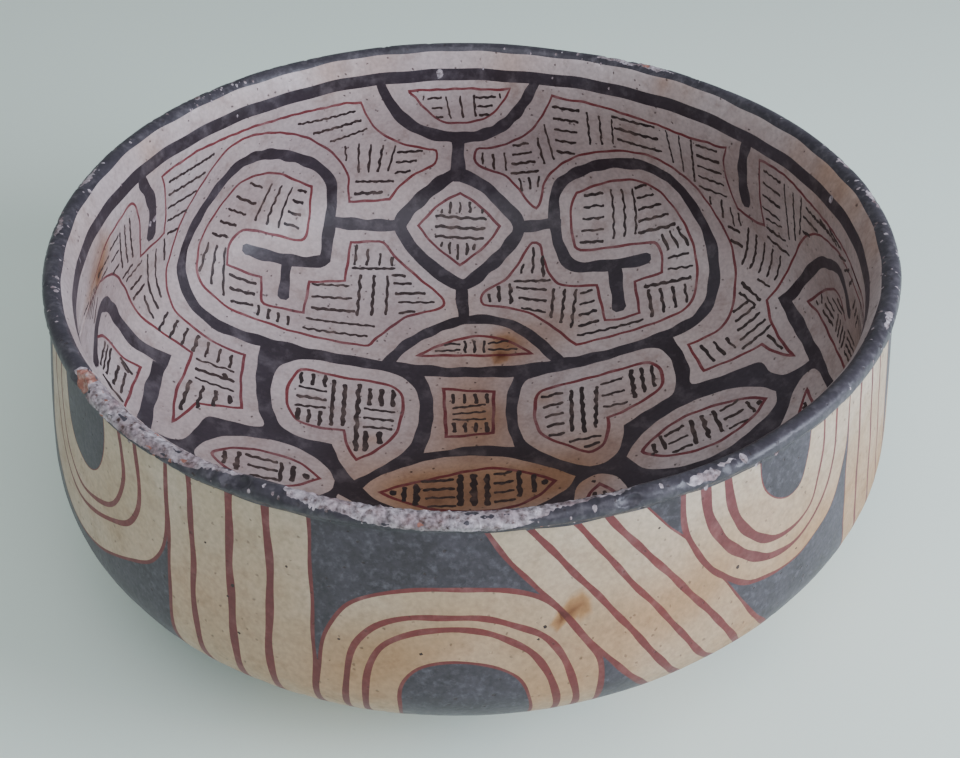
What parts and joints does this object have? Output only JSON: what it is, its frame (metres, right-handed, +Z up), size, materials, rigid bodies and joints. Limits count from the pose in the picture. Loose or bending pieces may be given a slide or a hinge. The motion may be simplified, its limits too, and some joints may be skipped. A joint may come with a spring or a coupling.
{
  "type": "painted ceramic bowl",
  "caption": "Open round pottery bowl with a low belly, an inward-leaning wall and a worn rolled lip, painted in cream, black and red.",
  "frame": {"origin": "centre of the flat underside that the bowl rests on", "axes": "+Z up through the mouth; -Y towards the side that the picture shows nearest"},
  "size_m": [0.3126, 0.3126, 0.132],
  "materials": {
    "slipped_clay": "fired earthenware under a burnished cream slip, painted with dark and red slip"
  },
  "bodies": {
    "root": {"bowl": "slipped_clay"}
  },
  "joints": []
}
